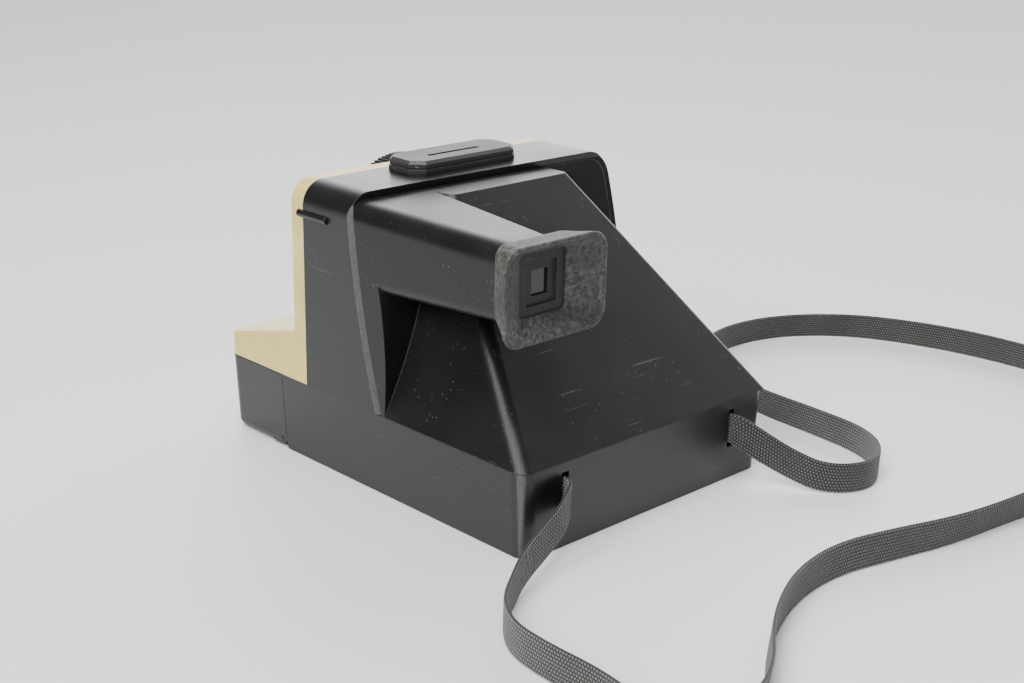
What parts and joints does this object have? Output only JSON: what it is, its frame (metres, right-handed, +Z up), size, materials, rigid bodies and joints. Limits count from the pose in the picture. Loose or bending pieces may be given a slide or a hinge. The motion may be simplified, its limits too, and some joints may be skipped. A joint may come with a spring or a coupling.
{
  "type": "instant camera",
  "caption": "Box-type instant camera with a drop-front film door, motor-driven rollers, focus ring, viewfinder eyecup, flash socket and a woven neck strap.",
  "frame": {"origin": "middle of the flat base face the camera stands on", "axes": "+Z up, the lens faces -Y, the eyecup faces +Y, the viewfinder is on the +X side"},
  "size_m": [0.3183, 0.2489, 0.099],
  "materials": {
    "black_shell": "semi-gloss moulded black",
    "black_door": "satin moulded black",
    "beige_shell": "smooth warm beige",
    "steel": "plain steel",
    "roller_steel": "ground steel",
    "gear_plastic": "natural white plastic",
    "brass": "machined brass",
    "inner_plastic": "dull black",
    "contact_metal": "plated contact strip",
    "blade_metal": "blackened thin sheet",
    "copper": "wound enamelled wire",
    "board": "green laminate",
    "lens_glass": "polished lens",
    "window_glass": "clear flat window",
    "cell": "light-sensitive cell",
    "red_plastic": "bright red moulding",
    "eyecup_plastic": "dusty black soft moulding",
    "mirror": "front-silvered glass",
    "strap_fabric": "black woven webbing"
  },
  "bodies": {
    "camera_body": {"main_body": "black_shell", "rear_cover": "black_shell", "front_cover": "beige_shell", "hinge_pin": "steel", "gear_plate": "steel", "drive_motor": "steel", "film_chamber": "inner_plastic", "battery_contacts": "contact_metal", "inner_frame": "inner_plastic", "shutter_housing": "inner_plastic", "solenoid_coil": "copper", "circuit_board": "board", "board_components": "inner_plastic", "lens_mount": "inner_plastic", "rear_lens": "lens_glass", "eye_window": "window_glass", "photocell": "cell", "button_spring": "steel", "viewfinder_tube": "inner_plastic", "viewfinder_window": "window_glass", "eyepiece_lens": "lens_glass", "eyecup": "eyecup_plastic", "eyepiece_mask": "inner_plastic", "mirror": "mirror", "flash_socket": "black_shell", "flash_contacts": "contact_metal", "latch_spring": "steel", "side_catch": "black_shell", "case_screws": "steel", "strap_pins": "steel", "strap": "strap_fabric"},
    "film_door": {"film_door": "black_door", "roller_bracket": "steel"},
    "lower_roller": {"lower_roller": "roller_steel", "roller_gear": "gear_plastic"},
    "upper_roller": {"upper_roller": "roller_steel"},
    "drive_gear": {"drive_gear": "gear_plastic"},
    "motor_pinion": {"motor_pinion": "brass"},
    "focus_ring": {"focus_ring": "black_door", "front_lens": "lens_glass"},
    "exposure_dial": {"exposure_dial": "black_door"},
    "shutter_button": {"shutter_button": "red_plastic"},
    "front_blade": {"front_blade": "blade_metal"},
    "rear_blade": {"rear_blade": "blade_metal"},
    "solenoid_plunger": {"solenoid_plunger": "steel"},
    "door_latch": {"door_latch": "black_door"},
    "pick_arm": {"pick_arm": "steel"}
  },
  "joints": [
    {"name": "door_hinge", "type": "hinge", "parent": "camera_body", "child": "film_door", "pos_m": [0, -0.045, 0.0036], "axis": [1, 0, 0], "range_deg": [0, 70]},
    {"name": "lower_roller_spin", "type": "hinge", "parent": "film_door", "child": "lower_roller", "pos_m": [0, -0.06, 0.021], "axis": [1, 0, 0], "continuous": true},
    {"name": "upper_roller_spin", "type": "hinge", "parent": "film_door", "child": "upper_roller", "pos_m": [0, -0.06, 0.029], "axis": [1, 0, 0], "continuous": true},
    {"name": "drive_gear_spin", "type": "hinge", "parent": "camera_body", "child": "drive_gear", "pos_m": [-0.052, -0.05256, 0.02926], "axis": [1, 0, 0], "continuous": true},
    {"name": "motor_pinion_spin", "type": "hinge", "parent": "camera_body", "child": "motor_pinion", "pos_m": [-0.052, -0.0435, 0.0325], "axis": [1, 0, 0], "continuous": true},
    {"name": "focus_turn", "type": "hinge", "parent": "camera_body", "child": "focus_ring", "pos_m": [0, -0.043, 0.0695], "axis": [0, -1, 0], "range_deg": [-60, 60]},
    {"name": "dial_turn", "type": "hinge", "parent": "camera_body", "child": "exposure_dial", "pos_m": [-0.039, -0.037, 0.0665], "axis": [0, -1, 0], "range_deg": [-40, 40]},
    {"name": "button_press", "type": "slide", "parent": "camera_body", "child": "shutter_button", "axis": [0, 1, 0], "range_m": [0, 0.002], "stiffness_N_per_m": 400, "springref_m": -0.001},
    {"name": "front_blade_slide", "type": "slide", "parent": "camera_body", "child": "front_blade", "axis": [1, 0, 0], "range_m": [0, 0.006]},
    {"name": "rear_blade_slide", "type": "slide", "parent": "camera_body", "child": "rear_blade", "axis": [-1, 0, 0], "range_m": [0, 0.006]},
    {"name": "plunger_slide", "type": "slide", "parent": "camera_body", "child": "solenoid_plunger", "axis": [-1, 0, 0], "range_m": [0, 0.003], "stiffness_N_per_m": 60, "springref_m": -0.001},
    {"name": "latch_slide", "type": "slide", "parent": "camera_body", "child": "door_latch", "axis": [0, 0, 1], "range_m": [0, 0.004], "stiffness_N_per_m": 150, "springref_m": -0.001},
    {"name": "pick_slide", "type": "slide", "parent": "camera_body", "child": "pick_arm", "axis": [0, -1, 0], "range_m": [0, 0.006]}
  ],
  "couplings": [
    {"joint": "upper_roller_spin", "follows": "lower_roller_spin", "ratio": -1},
    {"joint": "drive_gear_spin", "follows": "lower_roller_spin", "ratio": -0.57143},
    {"joint": "motor_pinion_spin", "follows": "lower_roller_spin", "ratio": 1.6},
    {"joint": "rear_blade_slide", "follows": "front_blade_slide", "ratio": 1}
  ]
}
